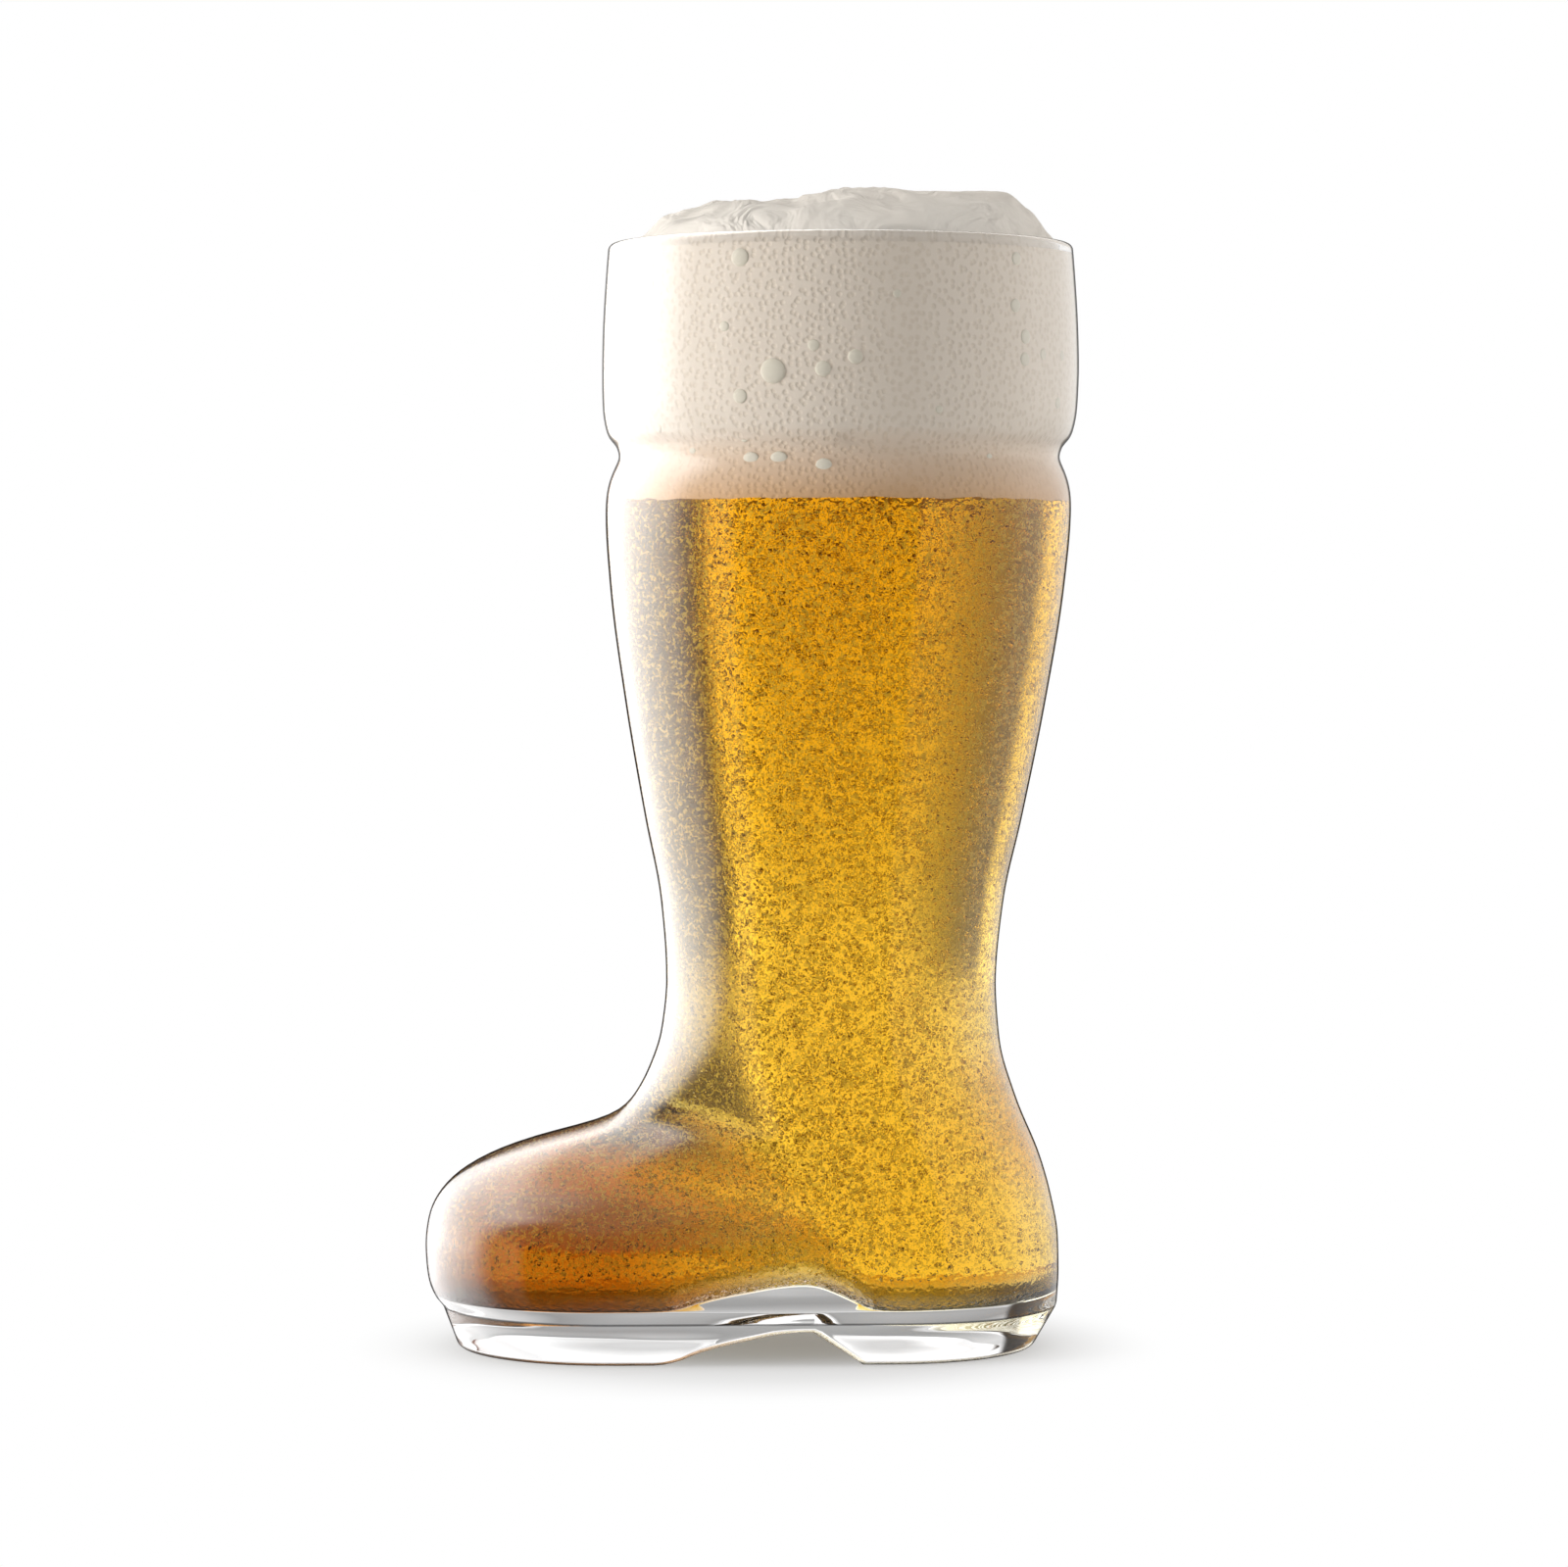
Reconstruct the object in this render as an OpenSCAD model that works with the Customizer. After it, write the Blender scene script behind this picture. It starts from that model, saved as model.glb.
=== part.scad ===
// Beer boot glass: a blown boot with a solid arched sole, filled with beer under a head of foam.
// The toe points to -X, the heel to +X, and the sole stands on z = 0.
// Every level section is an egg: a heel circle and a toe circle joined by their tangents.

/* [Cuff and leg] */
// Height of the glass, from the table to the rim
glass_h = 235; // [220:1:260]
// Outside diameter of the cuff at its fullest
cuff_d = 101.5; // [98:0.5:108]
// Height of the groove between the cuff and the leg
groove_z = 190.6; // [184:0.2:200]
// Depth of the groove, from the fullest part of the cuff
groove_deep = 3.9; // [2:0.1:5]
// Outside diameter of the leg where it is fullest, below the groove
calf_d = 99.2; // [96:0.1:101]
// Distance from the groove down to the fullest part of the leg
calf_drop = 12; // [9:0.5:18]
// Outside diameter of the ankle
ankle_d = 70.5; // [64:0.5:76]
// Height of the ankle where it is slimmest
ankle_z = 78.4; // [72:0.2:86]
// Lean of the leg's axis towards the toe, from the cuff down to the ankle
leg_lean = 2; // [0:0.1:4]

/* [Foot] */
// Length of the foot, from the toe to the back of the heel
foot_l = 135.6; // [125:0.2:145]
// Distance from the cuff's axis to the back of the heel
heel_back = 46.8; // [44:0.2:50]
// Width of the foot across its ball
foot_w = 77.6; // [73:0.2:82]
// Width of the foot across the heel
heel_w = 73.6; // [71:0.2:78]

/* [Sole] */
// Height of the seam line, where the foot meets the solid sole
sole_h = 9; // [8:0.1:10.5]
// Distance that the sole's sides draw in from the seam line to the table
sole_draw = 3.4; // [1:0.1:5]
// Distance that the back of the heel draws in, as above
heel_draw = 5.2; // [1:0.1:7]
// Radius of the sole's lower edge
sole_edge_r = 1.2; // [0.6:0.1:1.6]
// Height of the arch under the waist of the foot
arch_h = 7.3; // [4:0.1:7.6]
// Distance from the back of the heel to the ridge of the arch
arch_back = 52.2; // [48:0.2:56]
// Run of the arch's steep side, from its ridge to the heel pad
arch_heel_run = 13.4; // [10:0.2:16]
// Run of the arch's gentle side, from its ridge to the toe pad
arch_toe_run = 34.6; // [28:0.2:40]

/* [Wall] */
// Thickness of the blown wall
wall = 2.8; // [2:0.1:3.6]
// Thickness of the solid glass under the filling, at the toe and the heel
floor_t = 11.8; // [11:0.1:14]
// Rise of the glass floor above the arch
hump_h = 5.2; // [3:0.1:6]
// Radius of the inside corner round the floor
floor_r = 7; // [4:0.1:9]

/* [Filling] */
// Height of the beer, where the foam begins
beer_z = 180.4; // [120:0.2:186]
// Height of the foam's crown above the rim
crown_h = 12; // [6:0.1:20]
// Clearance between the filling and the glass, and between the beer and the foam
fill_gap = 0.15; // [0.1:0.01:0.3]

/* [Hidden] */

cuff_r = cuff_d / 2;
calf_r = calf_d / 2;
ankle_r = ankle_d / 2;
groove_r = cuff_r - groove_deep;
calf_z = groove_z - calf_drop;
rim_r = wall / 2;

// Outline of the cuff: height between groove and rim, radius between groove and fullest part
cuff_shares = [[0.035, 0.18], [0.075, 0.6], [0.13, 0.79], [0.2, 0.93], [0.4, 1], [0.6, 0.95],
    [0.8, 0.82], [1, 0.64], [1.2, 0.4]];
// Height of the fullest part of the cuff, as above
cuff_full_share = 0.4;
// Outline of the groove's lower side: height below the calf's fullest part up to the groove,
// and radius between the groove and the calf
groove_shares = [[0, 1], [0.16, 0.99], [0.4, 0.85], [0.6, 0.6], [0.78, 0.26], [0.93, 0.02]];
// Outline of the leg: height between ankle and calf, radius between ankle and calf
leg_shares = [[0, 0], [0.17, 0.095], [0.34, 0.34], [0.59, 0.665], [0.84, 0.92]];
// Outline of the toe: height as a share of the ankle's, reach between ankle and toe
toe_shares = [[0, 0.8], [0.116, 0.93], [0.145, 0.968], [0.2, 0.992], [0.28, 1], [0.36, 0.985],
    [0.412, 0.95], [0.466, 0.878], [0.519, 0.75], [0.573, 0.53], [0.61, 0.3], [0.645, 0.187],
    [0.69, 0.128], [0.76, 0.072], [0.86, 0.022], [1, 0]];
// Outline of the heel: height as above, reach between ankle and heel
heel_shares = [[0, 0.93], [0.116, 0.97], [0.2, 1], [0.3, 0.99], [0.41, 0.88], [0.52, 0.7],
    [0.68, 0.32], [0.84, 0.06], [1, 0]];
// Half width of the foot round the heel: height as above, width between ankle and heel
side_shares = [[0, -2.2], [0.116, -0.6], [0.145, 0.1], [0.2, 0.8], [0.3, 1], [0.38, 0.9],
    [0.52, 0.6], [0.68, 0.26], [0.83, 0.06], [1, 0]];
// Radius of the toe circle: height as above, radius as a share of half the foot's width
ridge_shares = [[0, 0.9], [0.116, 0.935], [0.145, 0.965], [0.2, 0.99], [0.3, 1], [0.36, 0.94],
    [0.41, 0.82], [0.46, 0.66], [0.52, 0.5], [0.58, 0.4], [0.63, 0.44], [0.68, 0.56],
    [0.75, 0.72], [0.85, 0.86]];
// Outline of the arch's gentle side: run from the toe pad, rise
arch_shares = [[0, 0], [0.14, 0.1], [0.31, 0.4], [0.6, 0.74], [0.86, 0.97], [1, 1]];

// Heights of the rings of facets, between the marks that each list names
foot_ring_shares = [0.022, 0.05, 0.1, 0.158, 0.216, 0.274, 0.33, 0.375, 0.418, 0.457, 0.49,
    0.519, 0.548, 0.576, 0.605, 0.638, 0.677, 0.735, 0.807, 0.893];
cavity_ring_shares = [0.08, 0.16, 0.235, 0.29, 0.335, 0.375, 0.41, 0.445, 0.48, 0.525,
    0.575, 0.64, 0.73, 0.85];
leg_ring_shares = [0, 0.1, 0.2, 0.33, 0.46, 0.6, 0.74, 0.87];
groove_ring_shares = [0, 0.35, 0.55, 0.78];
cuff_ring_shares = [0, 0.035, 0.075, 0.13, 0.2, 0.4, 0.6, 0.82];
// Share of the ankle's height up to which the floor's hump lifts the cavity's rings
hump_fade_share = 0.45;

// Facets along half an outline: round the toe, the two sides of the arch, round the heel
side_facets = [10, 5, 3, 9];
turn_facets = 3;

toe_reach = foot_l - heel_back;
leg_x = (toe_reach - max(cuff_r, heel_back)) / 2;
cuff_h = glass_h - groove_z;
cuff_full_z = groove_z + cuff_full_share * cuff_h;
ankle_x = leg_x - leg_lean;
toe_run = toe_reach - leg_lean - ankle_r;
heel_run = heel_back + leg_lean - ankle_r;
arch_x = leg_x + heel_back - arch_back;
slope_step = 0.01 * wall;

function mix(a, b, share) = a + (b - a) * share;

// Slope at point i of a table of points: level at the ends and at a peak, else the mean of its sides
function rise(p, i) = (p[i + 1][1] - p[i][1]) / (p[i + 1][0] - p[i][0]);
function slope(p, i) =
    i == 0 || i == len(p) - 1 ? 0 :
    let (before = rise(p, i - 1), after = rise(p, i))
    before * after <= 0 ? 0 : 2 * before * after / (before + after);

// Value at t of the smooth curve through a table of points
function hermite(p, i, t) =
    let (run = p[i + 1][0] - p[i][0], s = (t - p[i][0]) / run, q = 1 - s)
    p[i][1] * q * q * (1 + 2 * s) + p[i + 1][1] * s * s * (3 - 2 * s)
    + run * s * q * (q * slope(p, i) - s * slope(p, i + 1));
function segment(p, t, i = 0) = i >= len(p) - 2 || t < p[i + 1][0] ? i : segment(p, t, i + 1);
function curve(p, t) =
    t <= p[0][0] ? p[0][1] : t >= p[len(p) - 1][0] ? p[len(p) - 1][1] :
    hermite(p, segment(p, t), t);

// Tables of height against radius or reach, from the sole to the rim
leg_points = concat(
    [for (s = leg_shares) [mix(ankle_z, calf_z, s[0]), mix(ankle_r, calf_r, s[1])]],
    [for (s = groove_shares) [mix(calf_z, groove_z, s[0]), mix(groove_r, calf_r, s[1])]],
    [for (s = cuff_shares) [mix(groove_z, glass_h, s[0]), mix(groove_r, cuff_r, s[1])]]);
toe_points = [for (s = toe_shares) [s[0] * ankle_z, s[1] * toe_run]];
heel_points = [for (s = heel_shares) [s[0] * ankle_z, s[1] * heel_run]];
side_points = [for (s = side_shares) [s[0] * ankle_z, mix(ankle_r, heel_w / 2, s[1])]];
ridge_points = concat([for (s = ridge_shares) [s[0] * ankle_z, s[1] * foot_w / 2]],
    [[ankle_z, ankle_r]]);

function axis_x(z) =
    leg_x - leg_lean * min(1, max(0, cuff_full_z - z) / (cuff_full_z - ankle_z));
function front_x(z) =
    z >= ankle_z ? axis_x(z) - curve(leg_points, z) : ankle_x - ankle_r - curve(toe_points, z);
function back_x(z) =
    z >= ankle_z ? axis_x(z) + curve(leg_points, z) : ankle_x + ankle_r + curve(heel_points, z);
function heel_r(z) = z >= ankle_z ? curve(leg_points, z) : curve(side_points, z);
function toe_r(z) = z >= ankle_z ? curve(leg_points, z) : curve(ridge_points, z);

// Level thickness of a wall whose outer face moves by grade for each unit of height
function level_wall(grade) = wall * sqrt(1 + grade * grade);
function grade_of(after, before) = (after - before) / (2 * slope_step);

// A section is [front x, back x, heel radius, toe radius]
function outer_section(z, draw = 0) =
    [front_x(z) + draw, back_x(z) - draw, heel_r(z) - draw, toe_r(z) - draw];
function inner_section(z, draw = 0) =
    let (
        above = outer_section(z + slope_step),
        below = outer_section(z - slope_step),
        here = outer_section(z)
    )
    [
        here[0] + level_wall(grade_of(above[0], below[0])) + draw,
        here[1] - level_wall(grade_of(above[1], below[1])) - draw,
        here[2] - level_wall(grade_of(above[2], below[2])) - draw,
        here[3] - wall - draw
    ];

// Angle from the toe at which the tangent leaves the toe circle
function tangent_angle(s) =
    let (apart = s[1] - s[2] - s[0] - s[3])
    apart < slope_step ? 90 : acos(min(1, max(-1, (s[2] - s[3]) / apart)));
function arc_len(r, angle) = r * PI * angle / 180;
function tangent_len(s) =
    let (apart = s[1] - s[2] - s[0] - s[3])
    sqrt(max(0, apart * apart - (s[2] - s[3]) * (s[2] - s[3])));
function half_len(s) =
    let (a = tangent_angle(s)) arc_len(s[3], a) + tangent_len(s) + arc_len(s[2], 180 - a);

// Point of a section's side at a share of the way from toe to heel
function side_point(s, share) =
    let (
        a = tangent_angle(s),
        toe_arc = arc_len(s[3], a),
        straight = tangent_len(s),
        way = share * (toe_arc + straight + arc_len(s[2], 180 - a))
    )
    way < toe_arc ? circle_point(s[0] + s[3], s[3], a * way / toe_arc) :
    way < toe_arc + straight ?
        mix(circle_point(s[0] + s[3], s[3], a), circle_point(s[1] - s[2], s[2], a),
            (way - toe_arc) / straight) :
    circle_point(s[1] - s[2], s[2], a + (way - toe_arc - straight) / arc_len(s[2], 1));
function circle_point(x, r, angle) = [x - r * cos(angle), r * sin(angle)];

// Shares of the way at which every section has a point, with one on each edge of the arch
function way_share(s, x) =
    let (a = tangent_angle(s), start = s[0] + s[3] - s[3] * cos(a))
    (arc_len(s[3], a) + (x - start) / sin(a)) / half_len(s);
seam = outer_section(sole_h);
marks = [0, way_share(seam, arch_x - arch_toe_run), way_share(seam, arch_x),
    way_share(seam, arch_x + arch_heel_run), 1];
half_way = concat([0], [for (m = [0 : len(side_facets) - 1], k = [1 : side_facets[m]])
    mix(marks[m], marks[m + 1], k / side_facets[m])]);
half_count = len(half_way) - 1;
count = 2 * half_count;

// The whole outline of a section: out along one side from the toe, and back along the other
function outline(s) =
    let (side = [for (share = half_way) side_point(s, share)])
    [for (i = [0 : count - 1]) i <= half_count ? side[i] : [side[count - i][0], -side[count - i][1]]];

// Rise of the arch at x, as a share of its height
arch_curve = concat(
    [for (s = arch_shares) [arch_x - arch_toe_run * (1 - s[0]), s[1]]],
    [[arch_x + arch_heel_run, 0]]);
function arch_rise(x) =
    x > arch_x ? max(0, 1 - (x - arch_x) / arch_heel_run) : curve(arch_curve, x);

// A ring of the glass wall, level at height z
function level_ring(s, z) = [for (p = outline(s)) [p[0], p[1], z]];

// A ring of the sole's side, at a share of the way down from the seam line to the lower edge.
// The lower edge follows the arch, and turn is the angle that its rounding has turned by.
function sole_ring(share, turn = 0) =
    let (seam_line = outline(seam))
    [for (i = [0 : count - 1])
        let (
            foot_z = arch_h * arch_rise(seam_line[i][0]),
            r = min(sole_edge_r, (sole_h - foot_z) / 2),
            z = mix(sole_h, foot_z + r, share) - r * sin(turn),
            fall = (sole_h - z) / sole_h,
            edge = r * (1 - cos(turn)),
            draw = sole_draw * fall + edge,
            drawn = [seam[0] + draw, seam[1] - heel_draw * fall - edge, seam[2] - draw, seam[3] - draw],
            p = side_point(drawn, half_way[i <= half_count ? i : count - i])
        )
        [p[0], i <= half_count ? p[1] : -p[1], z]];

// A ring of the cavity, or of a filling that leaves a gap to it. Low rings rise over the hump.
function cavity_ring(z, gap = 0, draw = 0, corner_z = 0) =
    let (
        s = inner_section(z, gap + draw),
        fade_z = hump_fade_share * ankle_z,
        share = max(0, (fade_z - z + corner_z) / (fade_z - floor_t))
    )
    [for (p = outline(s)) [p[0], p[1], z - corner_z + hump_h * min(1, share) * arch_rise(p[0])]];
// The rounded corner of the cavity, turned by an angle from the wall to the floor
function corner_ring(turn, gap = 0) =
    cavity_ring(floor_t + floor_r, gap, (floor_r - gap) * (1 - cos(turn)),
        (floor_r - gap) * sin(turn));

corner_turns = [for (k = [turn_facets : -1 : 1]) 90 * k / turn_facets];
upper_heights = concat(
    [for (s = leg_ring_shares) mix(ankle_z, calf_z, s)],
    [for (s = groove_ring_shares) mix(calf_z, groove_z, s)],
    [for (s = cuff_ring_shares) mix(groove_z, glass_h, s)]);
outer_heights = concat([for (s = foot_ring_shares) mix(sole_h, ankle_z, s)], upper_heights);
cavity_heights = concat(
    [for (s = concat([0], cavity_ring_shares)) mix(floor_t + floor_r, ankle_z, s)], upper_heights);

// Faces between rings of points, with both end rings closed by strips from side to side
function wall_faces(rings) =
    [for (k = [0 : rings - 2], i = [0 : count - 1])
        let (a = k * count + i, b = k * count + (i + 1) % count)
        each [[a, a + count, b], [b, a + count, b + count]]];
function end_faces(first, up) =
    [for (i = [0 : half_count - 1])
        let (
            a = first + i, b = a + 1,
            c = first + (count - i - 1) % count, d = first + (count - i) % count,
            strip = i == 0 ? [[a, b, c]] : i == half_count - 1 ? [[a, b, d]] : [[a, b, c], [a, c, d]]
        )
        each up ? [for (f = strip) [f[2], f[1], f[0]]] : strip];
module loft(rings) {
    polyhedron(
        points = [for (r = rings) each r],
        faces = concat(wall_faces(len(rings)), end_faces(0, false),
            end_faces((len(rings) - 1) * count, true)));
}

// The blown boot: one wall of glass from the sole's lower edge up to the rim and down inside
module glass_boot() {
    rim_z = glass_h - rim_r;
    color([0.86, 0.92, 0.94, 0.45])
        loft(concat(
            [for (turn = corner_turns) sole_ring(1, turn)],
            [for (share = [1, 0.5]) sole_ring(share)],
            [level_ring(seam, sole_h)],
            [for (z = outer_heights) level_ring(outer_section(z), z)],
            [for (k = [0 : 2 * turn_facets]) let (turn = 90 * k / turn_facets)
                level_ring(outer_section(rim_z, rim_r * (1 - cos(turn))), rim_z + rim_r * sin(turn))],
            [for (k = [len(cavity_heights) - 1 : -1 : 0]) cavity_ring(cavity_heights[k])],
            [for (k = [turn_facets - 1 : -1 : 0]) corner_ring(corner_turns[k])]));
}

// The beer: fills the foot and the leg up to the groove
module beer() {
    color([0.89, 0.6, 0.09])
        loft(concat(
            [for (turn = corner_turns) corner_ring(turn, fill_gap)],
            [for (z = cavity_heights) if (z < beer_z - fill_gap) cavity_ring(z, fill_gap)],
            [cavity_ring(beer_z, fill_gap)]));
}

// Shape of the crown: its rings, how full it stays towards its edge, how much higher it is towards
// the heel, and its lobes' count, height and turn
crown_ring_shares = [0.985, 0.95, 0.87, 0.72, 0.5, 0.25];
crown_full_share = 4;
crown_tilt_share = 0.12;
lobes = 3;
lobe_share = 0.06;
lobe_turn = 40;

// The foam: a column in the cuff, and a lobed crown that stands over the rim
module foam_head() {
    rim_z = glass_h - rim_r;
    rim = inner_section(rim_z, fill_gap);
    crown_x = (rim[0] + rim[1]) / 2;
    color([0.97, 0.95, 0.9])
        loft(concat(
            [cavity_ring(beer_z + fill_gap, fill_gap)],
            [for (z = cavity_heights) if (z > beer_z + 2 * fill_gap) cavity_ring(z, fill_gap)],
            [level_ring(rim, rim_z)],
            [for (share = crown_ring_shares) [for (p = outline(rim))
                let (
                    turn = atan2(p[1], p[0] - crown_x),
                    dome = sqrt(1 - pow(share, crown_full_share)),
                    lobe = 1 + share * (crown_tilt_share * cos(turn)
                        + lobe_share * sin(lobes * turn + lobe_turn))
                )
                [mix(crown_x, p[0], share), p[1] * share,
                    rim_z + (crown_h + rim_r) * dome * lobe]]]));
}

glass_boot();
beer();
foam_head();
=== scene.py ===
"""Beer boot glass: a blown glass boot with a solid arched sole, full of lager under a head of foam.

The toe points to -X, the heel to +X, and the sole stands on z = 0. Shapes are worked out in
millimetres, from the same sizes as the part's source, and put into the meshes in metres.
"""
import math
import random

import bmesh
import bpy
from mathutils import Matrix, Vector, noise


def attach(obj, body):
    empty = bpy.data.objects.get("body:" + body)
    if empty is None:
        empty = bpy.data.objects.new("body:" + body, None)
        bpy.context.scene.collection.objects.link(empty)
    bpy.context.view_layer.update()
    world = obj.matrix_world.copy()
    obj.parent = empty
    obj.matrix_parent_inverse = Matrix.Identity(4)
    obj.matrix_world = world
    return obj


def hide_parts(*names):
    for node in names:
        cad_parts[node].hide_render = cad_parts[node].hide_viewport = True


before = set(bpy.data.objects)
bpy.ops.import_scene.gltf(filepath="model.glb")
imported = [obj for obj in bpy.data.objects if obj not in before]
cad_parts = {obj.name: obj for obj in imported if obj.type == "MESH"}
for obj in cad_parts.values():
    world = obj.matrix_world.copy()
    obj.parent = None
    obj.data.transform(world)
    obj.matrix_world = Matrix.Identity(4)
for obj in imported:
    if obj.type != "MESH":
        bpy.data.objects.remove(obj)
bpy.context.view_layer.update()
MM = 0.001
rng = random.Random(7)
scene = bpy.context.scene

# ---------------------------------------------------------------- sizes, in millimetres
glass_h, cuff_r, groove_z, groove_deep = 235.0, 50.75, 190.6, 3.9
calf_r, calf_drop, ankle_r, ankle_z, leg_lean = 49.6, 12.0, 35.25, 78.4, 2.0
foot_l, heel_back, foot_w, heel_w = 135.6, 46.8, 77.6, 73.6
sole_h, sole_draw, heel_draw, sole_edge_r = 9.0, 3.4, 5.2, 1.2
arch_h, arch_back, arch_heel_run, arch_toe_run = 7.3, 52.2, 13.4, 34.6
wall, floor_t, hump_h, floor_r = 2.8, 11.8, 5.2, 7.0
beer_z = 180.4
# How far the groove's hollow, and the bends beside it, reach from its middle
groove_half, groove_reach = 5.0, 14.0

groove_r = cuff_r - groove_deep
calf_z = groove_z - calf_drop
rim_r = wall / 2
rim_z = glass_h - rim_r
toe_reach = foot_l - heel_back
leg_x = (toe_reach - max(cuff_r, heel_back)) / 2
ankle_x = leg_x - leg_lean
cuff_full_z = groove_z + 0.4 * (glass_h - groove_z)
toe_run = toe_reach - leg_lean - ankle_r
heel_run = heel_back + leg_lean - ankle_r
arch_x = leg_x + heel_back - arch_back


def mix(a, b, share):
    return a + (b - a) * share


# Shapes of the outline, as pairs of shares of the height and of the reach or radius
leg_points = (
    [(mix(ankle_z, calf_z, a), mix(ankle_r, calf_r, b)) for a, b in
     [(0, 0), (0.17, 0.095), (0.34, 0.34), (0.59, 0.665), (0.84, 0.92)]]
    + [(mix(calf_z, groove_z, a), mix(groove_r, calf_r, b)) for a, b in
       [(0, 1), (0.16, 0.99), (0.4, 0.85), (0.6, 0.6), (0.78, 0.26), (0.93, 0.02)]]
    + [(mix(groove_z, glass_h, a), mix(groove_r, cuff_r, b)) for a, b in
       [(0.035, 0.18), (0.075, 0.6), (0.13, 0.79), (0.2, 0.93), (0.4, 1), (0.6, 0.95),
        (0.8, 0.82), (1, 0.64), (1.2, 0.4)]])
toe_points = [(a * ankle_z, b * toe_run) for a, b in
              [(0, 0.8), (0.116, 0.93), (0.145, 0.968), (0.2, 0.992), (0.28, 1), (0.36, 0.985),
               (0.412, 0.95), (0.466, 0.878), (0.519, 0.75), (0.573, 0.53), (0.61, 0.3),
               (0.645, 0.187), (0.69, 0.128), (0.76, 0.072), (0.86, 0.022), (1, 0)]]
heel_points = [(a * ankle_z, b * heel_run) for a, b in
               [(0, 0.93), (0.116, 0.97), (0.2, 1), (0.3, 0.99), (0.41, 0.88), (0.52, 0.7),
                (0.68, 0.32), (0.84, 0.06), (1, 0)]]
side_points = [(a * ankle_z, mix(ankle_r, heel_w / 2, b)) for a, b in
               [(0, -2.2), (0.116, -0.6), (0.145, 0.1), (0.2, 0.8), (0.3, 1), (0.38, 0.9),
                (0.52, 0.6), (0.68, 0.26), (0.83, 0.06), (1, 0)]]
ridge_points = [(a * ankle_z, b * foot_w / 2) for a, b in
                [(0, 0.9), (0.116, 0.935), (0.145, 0.965), (0.2, 0.99), (0.3, 1), (0.36, 0.94),
                 (0.41, 0.82), (0.46, 0.66), (0.52, 0.5), (0.58, 0.4), (0.63, 0.44), (0.68, 0.56),
                 (0.75, 0.72), (0.85, 0.86)]] + [(ankle_z, ankle_r)]
arch_points = [(arch_x - arch_toe_run * (1 - a), b) for a, b in
               [(0, 0), (0.14, 0.1), (0.31, 0.4), (0.6, 0.74), (0.86, 0.97), (1, 1)]]
# Outline of the foam's crown over the rim, seen from the side: x and height over the rim
crown_points = [(-29, 0), (-26.9, 0.6), (-21, 4.1), (-17.3, 7.2), (-11.4, 8.4), (-6.6, 10.4),
                (3.5, 10.6), (28, 12.9), (40, 11.8), (53, 12.9), (58.3, 9.6), (63.5, 2.6), (67, 0)]


def rise(points, i):
    """Slope of the straight line from a point of a table to the next."""
    return (points[i + 1][1] - points[i][1]) / (points[i + 1][0] - points[i][0])


def slope(points, i):
    """Slope at a point of a table: level at the ends and at a peak, else the mean of its sides."""
    if i == 0 or i == len(points) - 1:
        return 0.0
    before, after = rise(points, i - 1), rise(points, i)
    return 0.0 if before * after <= 0 else 2 * before * after / (before + after)


def curve(points, t):
    """Value at t of the smooth curve through a table of points."""
    if t <= points[0][0]:
        return points[0][1]
    if t >= points[-1][0]:
        return points[-1][1]
    i = max(k for k in range(len(points) - 1) if points[k][0] <= t)
    run = points[i + 1][0] - points[i][0]
    s = (t - points[i][0]) / run
    q = 1 - s
    return (points[i][1] * q * q * (1 + 2 * s) + points[i + 1][1] * s * s * (3 - 2 * s)
            + run * s * q * (q * slope(points, i) - s * slope(points, i + 1)))


def eased(points, t, reach):
    """The same curve, smoothed over a reach to each side, as molten glass smooths itself."""
    shares = (1, 4, 6, 4, 1)
    near = [curve(points, t + reach * (k - 2) / 2) for k in range(len(shares))]
    return sum(n * value for n, value in zip(shares, near)) / sum(shares)


def section(z):
    """[front x, back x, heel radius, toe radius] of the outside of the glass at a height."""
    if z >= ankle_z:
        # The groove is smoothed the least, so that it stays crisp
        r = eased(leg_points, z, mix(0.7, 4.0, min(1, abs(z - groove_z) / groove_reach)))
        x = leg_x - leg_lean * min(1, max(0, cuff_full_z - z) / (cuff_full_z - ankle_z))
        return [x - r, x + r, r, r]
    reach = min(2.5, z - sole_h, ankle_z - z)
    return [ankle_x - ankle_r - eased(toe_points, z, reach),
            ankle_x + ankle_r + eased(heel_points, z, reach),
            eased(side_points, z, reach), eased(ridge_points, z, reach)]


def drawn(s, draw):
    """A section drawn in by a distance all round."""
    return [s[0] + draw, s[1] - draw, s[2] - draw, s[3] - draw]


def inner_section(z, draw=0.0):
    """The inside of the wall at a height, drawn in by a further distance. The more the glass
    leans there, the further its wall reaches on the level."""
    step = 0.8
    above, below = section(z + step), section(z - step)
    here = [mix(a, b, 0.5) for a, b in zip(section(z + 0.5 * step), section(z - 0.5 * step))]
    level = [wall * math.hypot(1, (a - b) / (2 * step)) for a, b in zip(above, below)]
    return [here[0] + level[0] + draw, here[1] - level[1] - draw,
            here[2] - level[2] - draw, here[3] - wall - draw]


def circle_point(x, r, angle):
    """Point at an angle from the toe of a circle whose middle is at x."""
    return Vector((x - r * math.cos(angle), r * math.sin(angle), 0))


def tangent(s):
    """Angle from the toe at which the tangent leaves the toe circle, and the tangent's length."""
    apart = s[1] - s[2] - s[0] - s[3]
    # Circles as close together as this count as one
    if apart < 0.03:
        return math.pi / 2, 0.0
    across = s[2] - s[3]
    return math.acos(max(-1, min(1, across / apart))), math.sqrt(max(0, apart ** 2 - across ** 2))


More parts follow.
